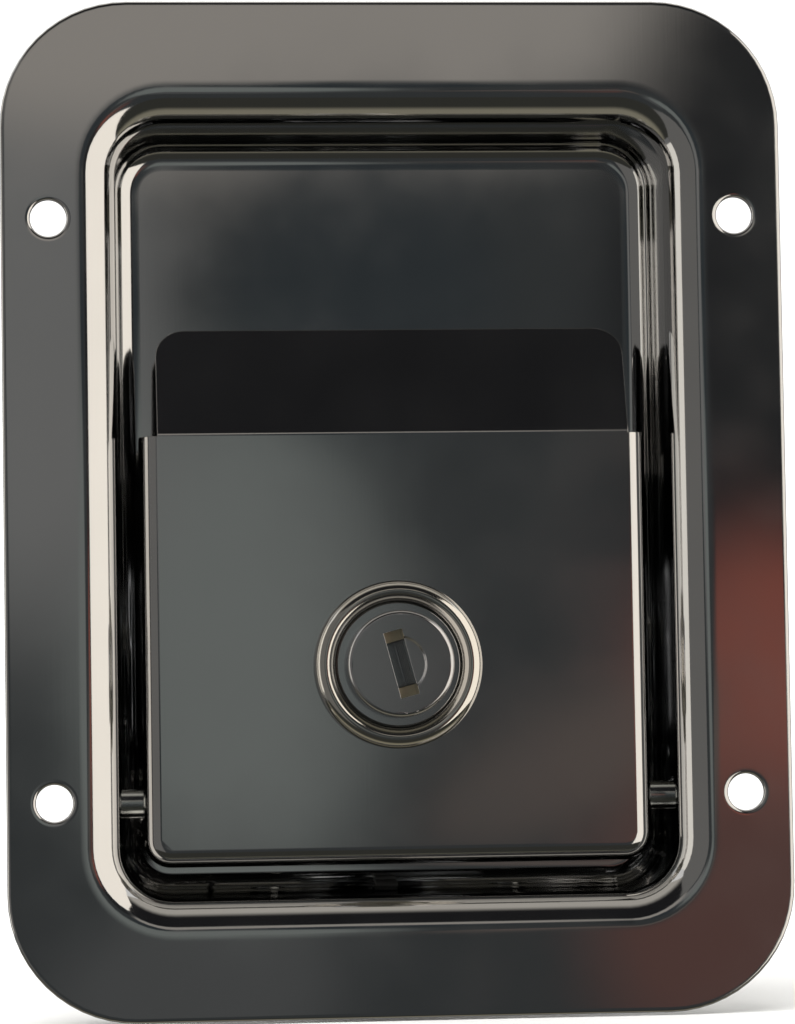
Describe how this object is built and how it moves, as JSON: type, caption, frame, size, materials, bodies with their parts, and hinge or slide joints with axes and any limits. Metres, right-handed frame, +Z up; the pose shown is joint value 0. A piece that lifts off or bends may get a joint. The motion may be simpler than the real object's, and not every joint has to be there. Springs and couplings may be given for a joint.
{
  "type": "paddle latch",
  "caption": "Flush paddle latch: a polished dish with a hinged finger paddle, a key lock in the paddle and a sprung slam bolt behind the floor.",
  "frame": {"origin": "centre of the four mounting holes, on the rear face of the flange, which lies on the panel", "axes": "the paddle faces -Y, +Z is up, +X is to the right of someone who faces the latch; the bolt slides along Z and points down"},
  "size_m": [0.108, 0.0335, 0.14],
  "materials": {
    "polished_steel": "mirror-polished stainless sheet",
    "paddle_steel": "mirror-polished stainless sheet, lightly used",
    "bezel_chrome": "bright chrome plate",
    "lock_chrome": "chrome plate on die-cast zinc",
    "cap_steel": "drawn stainless cap",
    "brass": "stamped brass",
    "zinc_steel": "bright zinc plate",
    "pin_steel": "turned stainless rod",
    "spring_steel": "drawn spring wire",
    "bolt_steel": "machined and zinc-plated steel"
  },
  "bodies": {
    "dish": {"pan": "polished_steel", "hinge_pin": "pin_steel", "pin_clip": "spring_steel", "paddle_spring": "spring_steel", "bolt_case": "zinc_steel", "case_rivets": "pin_steel", "bolt_springs": "spring_steel"},
    "paddle": {"paddle": "paddle_steel", "paddle_tail": "zinc_steel", "lock_bezel": "bezel_chrome", "lock_body": "lock_chrome", "lock_washer": "zinc_steel", "lock_nut": "zinc_steel"},
    "plug": {"lock_plug": "lock_chrome", "plug_cap": "cap_steel", "wafers": "brass", "lock_cam": "zinc_steel", "cam_washer": "zinc_steel", "cam_screw": "zinc_steel"},
    "bolt": {"bolt": "bolt_steel"}
  },
  "joints": [
    {"name": "paddle_hinge", "type": "hinge", "parent": "dish", "child": "paddle", "pos_m": [0, 0.0098, -0.0403], "axis": [1, 0, 0], "range_deg": [0, 35.5], "stiffness_Nm_per_rad": 0.12, "springref_deg": -34.38, "deforming": ["paddle_spring"]},
    {"name": "bolt_slide", "type": "slide", "parent": "dish", "child": "bolt", "axis": [0, 0, 1], "range_m": [0, 0.01005], "stiffness_N_per_m": 200, "springref_m": -0.01, "deforming": ["bolt_springs"]},
    {"name": "plug_turn", "type": "hinge", "parent": "paddle", "child": "plug", "pos_m": [0, 0, -0.0217], "axis": [0, 1, 0], "range_deg": [0, 90]}
  ],
  "couplings": [
    {"joint": "bolt_slide", "follows": "paddle_hinge", "m_per_rad": 0.016139}
  ]
}
